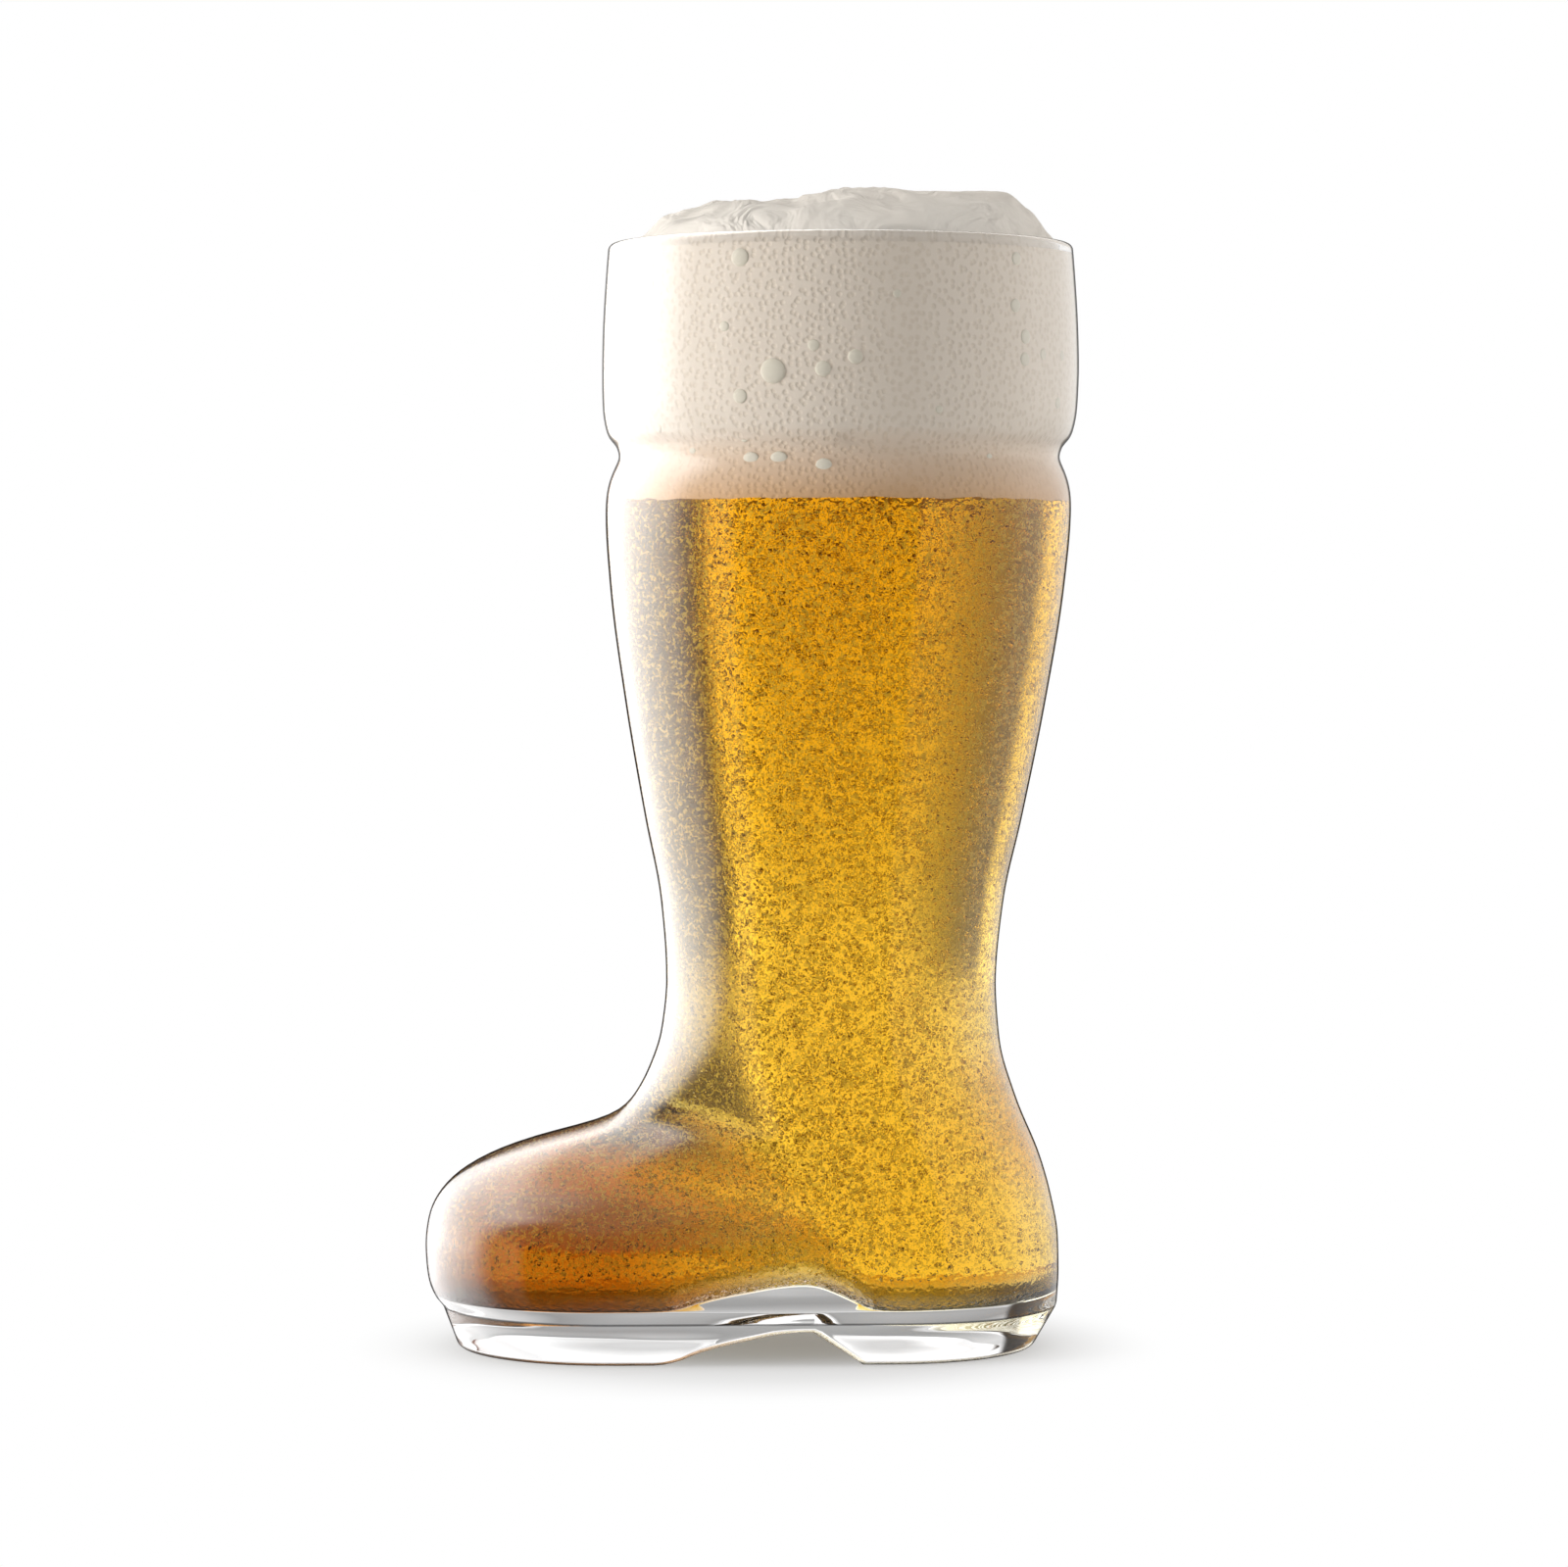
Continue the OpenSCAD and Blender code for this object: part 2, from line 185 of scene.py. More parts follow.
def side_point(s, share):
    """Point of a section's side at a share of the way from toe to heel."""
    a, straight = tangent(s)
    toe_arc = s[3] * a
    way = share * (toe_arc + straight + s[2] * (math.pi - a))
    if way < toe_arc:
        return circle_point(s[0] + s[3], s[3], way / s[3])
    if way < toe_arc + straight:
        return circle_point(s[0] + s[3], s[3], a).lerp(
            circle_point(s[1] - s[2], s[2], a), (way - toe_arc) / straight)
    return circle_point(s[1] - s[2], s[2], a + (way - toe_arc - straight) / s[2])


def way_share(s, x):
    """Share of the way at which the straight part of a section's side passes x."""
    a, straight = tangent(s)
    start = s[0] + s[3] - s[3] * math.cos(a)
    return (s[3] * a + (x - start) / math.sin(a)) / (s[3] * a + straight + s[2] * (math.pi - a))


# Facets of one side from toe to heel, with corners where the arch begins, crests and ends
seam = section(sole_h)
marks = [0, way_share(seam, arch_x - arch_toe_run), way_share(seam, arch_x),
         way_share(seam, arch_x + arch_heel_run), 1]
side_facets = [30, 16, 8, 26]
half_way = [0.0] + [mix(marks[m], marks[m + 1], k / n)
                    for m, n in enumerate(side_facets) for k in range(1, n + 1)]
half_count = len(half_way) - 1
count = 2 * half_count


def outline(s):
    """The whole outline of a section: out along one side from the toe, and back along the other."""
    side = [side_point(s, share) for share in half_way]
    return side + [Vector((p.x, -p.y, 0)) for p in side[half_count - 1:0:-1]]


def arch_rise(x):
    """Rise of the arch at x, as a share of its height."""
    return max(0, 1 - (x - arch_x) / arch_heel_run) if x > arch_x else curve(arch_points, x)


def hump_rise(x):
    """The same for the glass floor over the arch, whose crest is rounded."""
    shares, step = (1, 6, 15, 20, 15, 6, 1), 1.6
    near = [arch_rise(x + step * (k - 3)) for k in range(len(shares))]
    return sum(n * value for n, value in zip(shares, near)) / sum(shares)


# ---------------------------------------------------------------- rings of points
def level_ring(s, z):
    """A level ring round a section, at a height."""
    return [Vector((p.x, p.y, z)) for p in outline(s)]


def sole_ring(share, turn=0.0):
    """A ring of the sole's side, at a share of the way from the seam line down to the lower edge,
    which follows the arch and whose rounding has turned by an angle."""
    ring = []
    for i, p in enumerate(outline(seam)):
        foot_z = arch_h * arch_rise(p.x)
        r = min(sole_edge_r, (sole_h - foot_z) / 2)
        z = mix(sole_h, foot_z + r, share) - r * math.sin(turn)
        fall = (sole_h - z) / sole_h
        edge = r * (1 - math.cos(turn))
        s = drawn(seam, sole_draw * fall + edge)
        s[1] = seam[1] - heel_draw * fall - edge
        q = side_point(s, half_way[i if i <= half_count else count - i])
        ring.append(Vector((q.x, q.y if i <= half_count else -q.y, z)))
    return ring


def cavity_ring(z, draw=0.0, drop=0.0):
    """A ring of the cavity, or of a filling drawn in from it. Low rings rise over the hump, less
    and less up to the height where that fades out."""
    fade = 0.45 * ankle_z
    share = min(1, max(0, (fade - z + drop) / (fade - floor_t)))
    return [Vector((p.x, p.y, z - drop + hump_h * share * hump_rise(p.x)))
            for p in outline(inner_section(z, draw))]


def corner_rings(draw=0.0):
    """The rounded corner of the cavity, from the floor up to the wall."""
    steps = 8
    turns = [math.pi / 2 * k / steps for k in range(steps, 0, -1)]
    r = floor_r - draw
    return [cavity_ring(floor_t + floor_r, draw + r * (1 - math.cos(a)), r * math.sin(a))
            for a in turns]


def heights(low, high):
    """Heights from low to high, closest together in the groove."""
    found, z = [], low
    while z < high - 0.3:
        found.append(z)
        off_groove = abs(z - groove_z)
        if off_groove < groove_half:
            z += 0.45
        elif off_groove < groove_reach or z < ankle_z:
            z += 1.2
        else:
            z += 2.4
    return found


# ---------------------------------------------------------------- meshes from the rings
def loft(rings, lined_from=None):
    """A mesh through rings of points: a circle pulled out ring by ring, and closed at its ends.
    Faces from one ring on, and those that close the last, may take the piece's second material."""
    bm = bmesh.new()
    place = bm.verts.layers.int.new("place")
    bmesh.ops.create_circle(bm, segments=count, radius=1)
    bm.verts.ensure_lookup_table()
    for i, v in enumerate(bm.verts):
        v[place] = i
        v.co = rings[0][i] * MM
    edges = list(bm.edges)
    for k, ring in enumerate(rings[1:]):
        made = bmesh.ops.extrude_edge_only(bm, edges=edges)["geom"]
        last = [v for v in made if isinstance(v, bmesh.types.BMVert)]
        edges = [e for e in made if isinstance(e, bmesh.types.BMEdge) and e.is_boundary]
        for v in last:
            v.co = ring[v[place]] * MM
        if lined_from is not None and k >= lined_from:
            for f in (f for f in made if isinstance(f, bmesh.types.BMFace)):
                f.material_index = 1
    for f in close_across(bm, sorted(last, key=lambda v: v[place])):
        f.material_index = 0 if lined_from is None else 1
    close_across(bm, sorted((v for v in bm.verts if v.is_boundary), key=lambda v: v[place]))
    bmesh.ops.recalc_face_normals(bm, faces=bm.faces)
    put_in_order(bm)
    return bm


def put_in_order(bm):
    """Sorts the vertices by place, and the edges and facets by their vertices, because operators
    leave them in an order that changes from run to run."""
    for elements, key in ((bm.verts, lambda v: tuple(v.co)),
                          (bm.edges, lambda e: sorted(v.index for v in e.verts)),
                          (bm.faces, lambda f: sorted(v.index for v in f.verts))):
        for i, element in enumerate(sorted(elements, key=key)):
            element.index = i
        elements.sort()


def close_across(bm, ring):
    """Closes a ring with strips that run straight from side to side."""
    sides = [ring[1:half_count], ring[half_count + 1:]]
    chains = [bm.edges.get(pair) for side in sides for pair in zip(side, side[1:])]
    strips = bmesh.ops.bridge_loops(bm, edges=chains)["faces"]
    tips = [bm.edges.get(pair) for at in (0, half_count)
            for pair in ((ring[at - 1], ring[at]), (ring[at], ring[(at + 1) % count]))]
    tips += [bm.edges.get((ring[1], ring[-1])), bm.edges.get((ring[half_count - 1],
                                                            ring[half_count + 1]))]
    bmesh.ops.holes_fill(bm, edges=tips, sides=3)
    across = {e for f in strips for e in f.edges} - set(chains)
    before = set(bm.faces) - {f for e in across for f in e.link_faces}
    bmesh.ops.subdivide_edges(bm, edges=list(across), cuts=9, use_grid_fill=True)
    return set(bm.faces) - before


def piece(name, bm, materials, crease=180.0):
    """A finished piece of the object, riding on its one body."""
    for f in bm.faces:
        f.smooth = True
    for e in bm.edges:
        if len(e.link_faces) == 2 and e.calc_face_angle(0) > math.radians(crease):
            e.smooth = False
    mesh = bpy.data.meshes.new(name)
    bm.to_mesh(mesh)
    bm.free()
    obj = bpy.data.objects.new(name, mesh)
    scene.collection.objects.link(obj)
    for material in materials:
        mesh.materials.append(material)
    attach(obj, "root")
    return obj


# ---------------------------------------------------------------- materials
def colour(hex_code):
    """An sRGB hex colour as linear RGBA."""
    parts = [int(hex_code[k:k + 2], 16) / 255 for k in (1, 3, 5)]
    return tuple(c / 12.92 if c <= 0.04045 else ((c + 0.055) / 1.055) ** 2.4 for c in parts) + (1,)


def add(tree, kind, settings=None, **links):
    """Adds a node. Settings name its properties, and links its inputs, by value or by socket.
    An input is named as in the editor with _ for a space, or by its number as in_0."""
    node = tree.nodes.new(kind)
    for key, value in (settings or {}).items():
        setattr(node, key, value)
    for key, value in links.items():
        key = int(key[3:]) if key.startswith("in_") else key.replace("_", " ")
        if isinstance(value, bpy.types.NodeSocket):
            tree.links.new(value, node.inputs[key])
        else:
            node.inputs[key].default_value = value
    return node


def new_material(name):
    material = bpy.data.materials.new(name)
    material.use_nodes = True
    material.node_tree.nodes.clear()
    return material, material.node_tree


def clear_glass(name, ior, wetted):
    """Soda-lime glass, blown into a mould and fire-polished: colourless, mirror smooth, with the
    faint waves that blowing leaves in the wall. Lamps and bounced light pass it unbent. Painted
    shade at a glancing angle, along the seam and on the edge that stands on the table draws the
    dark lines of clear glass on a white ground. Where beer wets it, the gas beads that cling to it
    break up what is seen through them, and painted highlights stand for the light they catch."""
    material, t = new_material(name)
    place = add(t, "ShaderNodeTexCoord").outputs["Object"]
    height = add(t, "ShaderNodeSeparateXYZ", Vector=place).outputs["Z"]
    # Just over the seam the thick floor passes light level, as a pane does
    over_seam = add(t, "ShaderNodeMath", {"operation": "GREATER_THAN"}, in_0=height,
                    in_1=sole_h * MM)
    floor_level = add(t, "ShaderNodeMapRange", {"interpolation_type": "SMOOTHSTEP"}, Value=height,
                      From_Min=(sole_h + 2.4) * MM, From_Max=(sole_h + 3.4) * MM, To_Min=0.8,
                      To_Max=0.0)
    levelled = add(t, "ShaderNodeMath", {"operation": "MULTIPLY"}, in_0=over_seam.outputs[0],
                   in_1=floor_level.outputs[0])
    geometry = add(t, "ShaderNodeNewGeometry")
    flat = add(t, "ShaderNodeVectorMath", {"operation": "MULTIPLY"},
               in_0=geometry.outputs["Normal"], in_1=(1, 1, 0))
    facing = add(t, "ShaderNodeMix", {"data_type": "VECTOR"}, Factor=levelled.outputs[0],
                 in_4=geometry.outputs["Normal"], in_5=flat.outputs[0])
    facing = add(t, "ShaderNodeVectorMath", {"operation": "NORMALIZE"}, in_0=facing.outputs[1])
    # The waves of blowing are about 22 mm apart
    waves = add(t, "ShaderNodeTexNoise", Vector=place, Scale=1 / 0.022, Detail=1.0)
    bump = add(t, "ShaderNodeBump", Height=waves.outputs[0], Strength=0.25, Distance=0.0006,
               Normal=facing.outputs[0])
    # The sole is pressed, and chills in level folds a few millimetres apart
    level = add(t, "ShaderNodeMapping", Vector=place, Scale=(1, 1, 8))
    folds = add(t, "ShaderNodeTexNoise", Vector=level.outputs[0], Scale=1 / 0.035, Detail=0.0)
    pressed = add(t, "ShaderNodeMapRange", Value=height, From_Min=sole_h * MM,
                  From_Max=(sole_h + 6) * MM, To_Min=0.35, To_Max=0.0)
    bump = add(t, "ShaderNodeBump", Height=folds.outputs[0], Strength=pressed.outputs[0],
               Distance=0.001, Normal=bump.outputs[0])
    if wetted:
        # The beads sit about a millimetre apart
        beads = add(t, "ShaderNodeTexNoise", Vector=place, Scale=1 / 0.0012, Detail=1.0)
        bump = add(t, "ShaderNodeBump", Height=beads.outputs[0], Strength=0.4, Distance=0.0008,
                   Normal=bump.outputs[0])
    glass = add(t, "ShaderNodeBsdfPrincipled", Base_Color=colour("#ffffff"), Roughness=0.0,
                IOR=ior, Transmission_Weight=1.0, Normal=bump.outputs[0])
    clear = add(t, "ShaderNodeBsdfTransparent", Color=colour("#ececec"))
    path = add(t, "ShaderNodeLightPath")
    passes = add(t, "ShaderNodeMath", {"operation": "MAXIMUM"},
                 in_0=path.outputs["Is Shadow Ray"], in_1=path.outputs["Is Diffuse Ray"])
    # The dark line is painted shade, drawn where sight enters the glass, and not where it leaves it
    glance = add(t, "ShaderNodeLayerWeight", Blend=0.5)
    rim = add(t, "ShaderNodeMapRange", Value=glance.outputs["Facing"], From_Min=0.85,
              From_Max=0.91, To_Max=0.9)
    outer = add(t, "ShaderNodeMath", {"operation": "SUBTRACT"}, in_0=1.0,
                in_1=geometry.outputs["Backfacing"])
    rim = add(t, "ShaderNodeMath", {"operation": "MULTIPLY"}, in_0=rim.outputs[0],
              in_1=outer.outputs[0])
    # Painted shade: hardly any light comes out at the edge that stands on the table, so it is drawn
    # dark
    painted_contact_shade = add(t, "ShaderNodeMapRange", Value=height, From_Min=0.3 * MM, From_Max=1.1 * MM,
                  To_Min=0.8, To_Max=0.0)
    rim = add(t, "ShaderNodeMath", {"operation": "MAXIMUM"}, in_0=rim.outputs[0],
              in_1=painted_contact_shade.outputs[0])
    # The seam's edge sends light aside, and a thin dark line of painted shade stands for that
    off_seam = add(t, "ShaderNodeMath", {"operation": "SUBTRACT"}, in_0=height,
                   in_1=(sole_h + 0.05) * MM)
    off_seam = add(t, "ShaderNodeMath", {"operation": "ABSOLUTE"}, in_0=off_seam.outputs[0])
    painted_seam_shade = add(t, "ShaderNodeMapRange", Value=off_seam.outputs[0], From_Min=0.1 * MM,
                    From_Max=0.34 * MM, To_Min=0.75, To_Max=0.0)
    painted_seam_shade = add(t, "ShaderNodeMath", {"operation": "MULTIPLY"}, in_0=painted_seam_shade.outputs[0],
                    in_1=outer.outputs[0])
    rim = add(t, "ShaderNodeMath", {"operation": "MAXIMUM"}, in_0=rim.outputs[0],
              in_1=painted_seam_shade.outputs[0])
    # The painted shade is dark grey along the sole, nearly black along the beer and grey along the
    # foam
    foamed = add(t, "ShaderNodeMapRange", Value=height, From_Min=(beer_z - 6) * MM,
                 From_Max=(beer_z + 6) * MM)
    filled = add(t, "ShaderNodeMapRange", Value=height, From_Min=sole_h * MM,
                 From_Max=(sole_h + 6) * MM)
    line = add(t, "ShaderNodeMix", {"data_type": "RGBA"}, Factor=filled.outputs[0],
               in_6=colour("#454545"), in_7=colour("#1a100b"))
    line = add(t, "ShaderNodeMix", {"data_type": "RGBA"}, Factor=foamed.outputs[0],
               in_6=line.outputs[2], in_7=colour("#6f6f6f"))
    painted_edge_shade = add(t, "ShaderNodeBsdfDiffuse", Color=line.outputs[2])
    glass_with_painted_marks = add(t, "ShaderNodeMixShader", in_0=rim.outputs[0], in_1=glass.outputs[0],
                      in_2=painted_edge_shade.outputs[0])
    if wetted:
        # Painted highlights stand for the light the beads catch: golden seen square on, and paler
        # towards the sides
        turned = add(t, "ShaderNodeMapRange", Value=glance.outputs["Facing"], From_Min=0.12,
                     From_Max=0.4)
        drawn_out = add(t, "ShaderNodeMapping", Vector=place, Scale=(1, 0.55, 1))
        grain = add(t, "ShaderNodeTexNoise", Vector=drawn_out.outputs[0], Scale=1 / 0.0008,
                    Detail=1.0, Distortion=0.7)
        # Only the near wall's painted highlights are drawn: the far wall's are lost in the beer
        nearest = add(t, "ShaderNodeMath", {"operation": "LESS_THAN"},
                      in_0=path.outputs["Transmission Depth"], in_1=2.5)
        share = add(t, "ShaderNodeMapRange", Value=turned.outputs[0], To_Min=0.5, To_Max=0.85)
        most = add(t, "ShaderNodeMath", {"operation": "MULTIPLY"}, in_0=nearest.outputs[0],
                   in_1=share.outputs[0])
        # None cling to the corner round the floor
        clinging = add(t, "ShaderNodeMapRange", Value=height, From_Min=(floor_t + 1) * MM,
                       From_Max=(floor_t + floor_r + 3) * MM)
        most = add(t, "ShaderNodeMath", {"operation": "MULTIPLY"}, in_0=most.outputs[0],
                   in_1=clinging.outputs[0])
        painted_glint_mask = add(t, "ShaderNodeMapRange", Value=grain.outputs[0], From_Min=0.5,
                     From_Max=0.62, To_Max=most.outputs[0])
        painted_glint_colour = add(t, "ShaderNodeMix", {"data_type": "RGBA"}, Factor=turned.outputs[0],
                    in_6=colour("#ffd047"), in_7=colour("#ffd9a2"))
        painted_glint = add(t, "ShaderNodeBsdfDiffuse", Color=painted_glint_colour.outputs[2])
        glass_with_painted_marks = add(t, "ShaderNodeMixShader", in_0=painted_glint_mask.outputs[0],
                          in_1=glass.outputs[0], in_2=painted_glint.outputs[0])
    out = add(t, "ShaderNodeMixShader", in_0=passes.outputs[0], in_1=glass_with_painted_marks.outputs[0],
              in_2=clear.outputs[0])
    add(t, "ShaderNodeOutputMaterial", Surface=out.outputs[0])
    return material


def lager():
    """Filtered lager: a clear golden liquid that turns from straw to amber with its depth, by what
    it absorbs on the way, and is amber at once low in the foot, towards the toe. The wetted wall
    around it bends the light, so its own face doesn't."""
    material, t = new_material("filtered_lager")
    place = add(t, "ShaderNodeSeparateXYZ", Vector=add(t, "ShaderNodeTexCoord").outputs["Object"])
    toeward = add(t, "ShaderNodeMapRange", {"interpolation_type": "SMOOTHSTEP"},
                  Value=place.outputs["X"], From_Min=0.014, From_Max=-0.034)
    in_foot = add(t, "ShaderNodeMapRange", {"interpolation_type": "SMOOTHSTEP"},
                  Value=place.outputs["Z"], From_Min=0.045, From_Max=0.022)
    in_toe = add(t, "ShaderNodeMath", {"operation": "MULTIPLY"}, in_0=toeward.outputs[0],
                 in_1=in_foot.outputs[0])
    amber = add(t, "ShaderNodeMix", {"data_type": "RGBA"}, Factor=in_toe.outputs[0],
                in_6=colour("#ffffff"), in_7=colour("#c08f62"))
    beer = add(t, "ShaderNodeBsdfPrincipled", Base_Color=amber.outputs[2], Roughness=0.0,
               IOR=1.0, Transmission_Weight=1.0)
    clear = add(t, "ShaderNodeBsdfTransparent", Color=colour("#cacaca"))
    path = add(t, "ShaderNodeLightPath")
    passes = add(t, "ShaderNodeMath", {"operation": "MAXIMUM"},
                 in_0=path.outputs["Is Shadow Ray"], in_1=path.outputs["Is Diffuse Ray"])
    out = add(t, "ShaderNodeMixShader", in_0=passes.outputs[0], in_1=beer.outputs[0],
              in_2=clear.outputs[0])
    depth = add(t, "ShaderNodeVolumeAbsorption", Color=colour("#f7e43a"), Density=60.0)
    add(t, "ShaderNodeOutputMaterial", Surface=out.outputs[0], Volume=depth.outputs[0])
    return material


def carbon_dioxide():
    """Gas bubbles in the beer: each bends light the other way from a drop, so it shows as a dark
    ring with a bright middle."""
    material, t = new_material("carbon_dioxide_bubbles")
    gas = add(t, "ShaderNodeBsdfGlass", Color=colour("#ffffff"), Roughness=0.0, IOR=0.75)
    add(t, "ShaderNodeOutputMaterial", Surface=gas.outputs[0])
    return material


def beer_foam():
    """Beer foam: packed bubbles of 1 to 2 mm, each of them a shallow dip in the paler film that
    flattens on the glass, tinted low down by the beer that soaks up into it and by painted amber
    light from the beer below, and a fine dry froth on the crown."""
    material, t = new_material("beer_foam")
    place = add(t, "ShaderNodeTexCoord").outputs["Object"]
    at = add(t, "ShaderNodeSeparateXYZ", Vector=place)
    height = at.outputs["Z"]
    patches = add(t, "ShaderNodeTexNoise", Vector=place, Scale=1 / 0.03, Detail=2.0)
    froth = add(t, "ShaderNodeTexNoise", Vector=place, Scale=1 / 0.0025, Detail=4.0)
    on_glass = add(t, "ShaderNodeMapRange", Value=height, From_Min=(rim_z - 0.1) * MM,
                   From_Max=(rim_z + 0.9) * MM, To_Min=1.0, To_Max=0.0).outputs[0]
    # The crown, over the rim: fine froth, on wrinkles about 14 mm wide
    whipped = add(t, "ShaderNodeBump", Height=froth.outputs[0], Strength=0.3, Distance=0.0006)
    wrinkles = add(t, "ShaderNodeTexNoise", Vector=place, Scale=1 / 0.014, Detail=3.0,
                   Distortion=1.6)
    whipped = add(t, "ShaderNodeBump", Height=wrinkles.outputs[0], Strength=0.7, Distance=0.004,
                  Normal=whipped.outputs[0])
    # The bubbles are laid out flat and rolled round the cuff, so that each lies on the glass
    turn = add(t, "ShaderNodeMath", {"operation": "ARCTAN2"}, in_0=add(
        t, "ShaderNodeMath", {"operation": "SUBTRACT"}, in_0=at.outputs["X"],
        in_1=leg_x * MM).outputs[0], in_1=add(
            t, "ShaderNodeMath", {"operation": "MULTIPLY"}, in_0=at.outputs["Y"],
            in_1=-1.0).outputs[0])
    along = add(t, "ShaderNodeMath", {"operation": "MULTIPLY"}, in_0=turn.outputs[0],
                in_1=(cuff_r - wall) * MM)
    rolled = add(t, "ShaderNodeCombineXYZ", X=along.outputs[0], Y=height)
    cells = add(t, "ShaderNodeTexVoronoi", {"voronoi_dimensions": "2D"},
                Vector=rolled.outputs[0], Scale=1 / 0.0016, Randomness=0.85)
    film = add(t, "ShaderNodeMapRange", {"interpolation_type": "SMOOTHSTEP"},
               Value=cells.outputs["Distance"], From_Min=0.12, From_Max=0.45)
    pressed = add(t, "ShaderNodeBump", Height=film.outputs[0], Strength=0.4, Distance=0.00035)
    relief = add(t, "ShaderNodeMix", {"data_type": "VECTOR"}, Factor=on_glass,
                 in_4=whipped.outputs[0], in_5=pressed.outputs[0])
    cell = add(t, "ShaderNodeMix", {"data_type": "RGBA"}, Factor=film.outputs[0],
               in_6=colour("#e2d4c2"), in_7=colour("#e9dccc"))
    # Low down the foam is tinted by the beer soaked into it and by painted amber light from the
    # beer below
    soaked = add(t, "ShaderNodeMapRange", Value=height, From_Min=beer_z * MM,
                 From_Max=(beer_z + 15) * MM, To_Min=0.85, To_Max=0.0)
    tint = add(t, "ShaderNodeMix", {"data_type": "RGBA"}, Factor=soaked.outputs[0],
               in_6=cell.outputs[2], in_7=colour("#d0a06c"))
    dry = add(t, "ShaderNodeMix", {"data_type": "RGBA"}, Factor=patches.outputs[0],
              in_6=colour("#d6cdc2"), in_7=colour("#efe9df"))
    skin = add(t, "ShaderNodeMix", {"data_type": "RGBA"}, Factor=on_glass, in_6=dry.outputs[2],
               in_7=tint.outputs[2])
    foam = add(t, "ShaderNodeBsdfPrincipled", Base_Color=skin.outputs[2], Roughness=0.8,
               Specular_IOR_Level=0.1, Normal=relief.outputs[1])
    add(t, "ShaderNodeOutputMaterial", Surface=foam.outputs[0])
    return material


def soaked_shaded_foam():
    """The foam's underside, which the beer has soaked: dark amber, partly from the beer in it and
    partly painted shade, with bubbles of 2 mm.
    """
    material, t = new_material("foam_soaked_in_beer_painted_shade")
    place = add(t, "ShaderNodeTexCoord").outputs["Object"]
    cells = add(t, "ShaderNodeTexVoronoi", Vector=place, Scale=1 / 0.0018)
    wet_shaded_foam = add(t, "ShaderNodeMix", {"data_type": "RGBA"}, Factor=cells.outputs["Distance"],
                   in_6=colour("#c88220"), in_7=colour("#9a5a12"))
    foam = add(t, "ShaderNodeBsdfPrincipled", Base_Color=wet_shaded_foam.outputs[2], Roughness=0.4)
    add(t, "ShaderNodeOutputMaterial", Surface=foam.outputs[0])
    return material


# ---------------------------------------------------------------- the glass
def make_glass():
    """The boot, from the sole's lower edge up to the rim, over it, and down inside to the floor."""
    steps = 6
    rings = [sole_ring(1, math.pi / 2 * k / steps) for k in range(steps, 0, -1)]
    rings += [sole_ring(share) for share in (1, 0.8, 0.6, 0.4, 0.2, 0.06)]
    # The seam line is rounded over half a millimetre
    rings += [level_ring(drawn(section(sole_h + 0.25), 0.1), sole_h + 0.05)]
    rings += [level_ring(section(z), z) for z in heights(sole_h + 0.5, rim_z)]
    rings += [level_ring(drawn(section(rim_z), rim_r * (1 - math.cos(a))),
                         rim_z + rim_r * math.sin(a))
              for a in [math.pi * k / (2 * steps) for k in range(2 * steps + 1)]]
    lining = len(rings)
    rings += [cavity_ring(z) for z in reversed(heights(floor_t + floor_r, rim_z))]
    rings += list(reversed(corner_rings()))
    # Glass bends light 1.5 times against air, but only 1.5 / 1.333 times where beer wets it
    materials = (clear_glass("clear_soda_lime_glass", 1.5, wetted=False),
                 clear_glass("glass_wetted_by_beer", 1.125, wetted=True))
    glass = piece("boot_glass", loft(rings, lining), materials, crease=26)
    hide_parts("glass_boot")


# ---------------------------------------------------------------- the filling
# The beer and the foam reach this far into the glass, so that no film of air shows between them
wet, pressed_on = -0.25, -0.3


def make_beer():
    """The lager, from the floor of the cavity up into the foam."""
    rings = corner_rings(wet)
    rings += [cavity_ring(z, wet) for z in heights(floor_t + floor_r, beer_z)]
    rings += [cavity_ring(beer_z + 0.3, wet)]
    beer = piece("lager", loft(rings), [lager()], crease=40)
    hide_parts("beer")


def crown_ring(share, rim):
    """A ring of the crown: a whipped mound with folds some 15 mm wide, swirls half as wide and
    sharp creases, which comes down to the rim all round."""
    middle = (rim[0] + rim[1]) / 2
    ring = []
    for p in outline(rim):
        x, y = mix(middle, p.x, share), p.y * share
        half = math.sqrt(max(1e-6, rim[2] ** 2 - (x - middle) ** 2))
        across = max(0.0, 1 - (abs(y) / half) ** 3.2) ** 0.55
        folds = noise.noise(Vector((x * 0.055, y * 0.075, 3.7)))
        swirl = noise.noise(Vector((x * 0.15 + 2.1 * folds, y * 0.13, 9.2)))
        crease = 0.1 - abs(noise.noise(Vector((x * 0.09 + folds, y * 0.11, 5.4))))
        top = curve(crown_points, x) * (0.96 + 0.1 * folds) + 1.3 * swirl + 2.2 * crease
        z = across * top
        ring.append(Vector((x, y, rim_z + max(0, z))))
    return ring


def make_foam():
    """The head of foam, from its uneven lower edge up to the crown. Facets that look down are its
    soaked underside, darkened with painted shade."""
    uneven, clear_of_rim, crown_rings = 0.5, 0.3, 55
    rings = [[p + Vector((0, 0, uneven * noise.noise(p * 0.22)))
              for p in cavity_ring(beer_z, pressed_on)]]
    rings += [cavity_ring(z, pressed_on) for z in heights(beer_z + 1, rim_z - 1)]
    rim = inner_section(rim_z, clear_of_rim)
    rings += [crown_ring(math.sin(math.pi / 2 * (1 - k / (crown_rings + 1))), rim)
              for k in range(crown_rings)]
    bm = loft(rings)
    for f in bm.faces:
        f.material_index = 1 if f.normal.z < -0.9 else 0
    foam = piece("foam", bm, [beer_foam(), soaked_shaded_foam()], crease=60)
    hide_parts("foam_head")


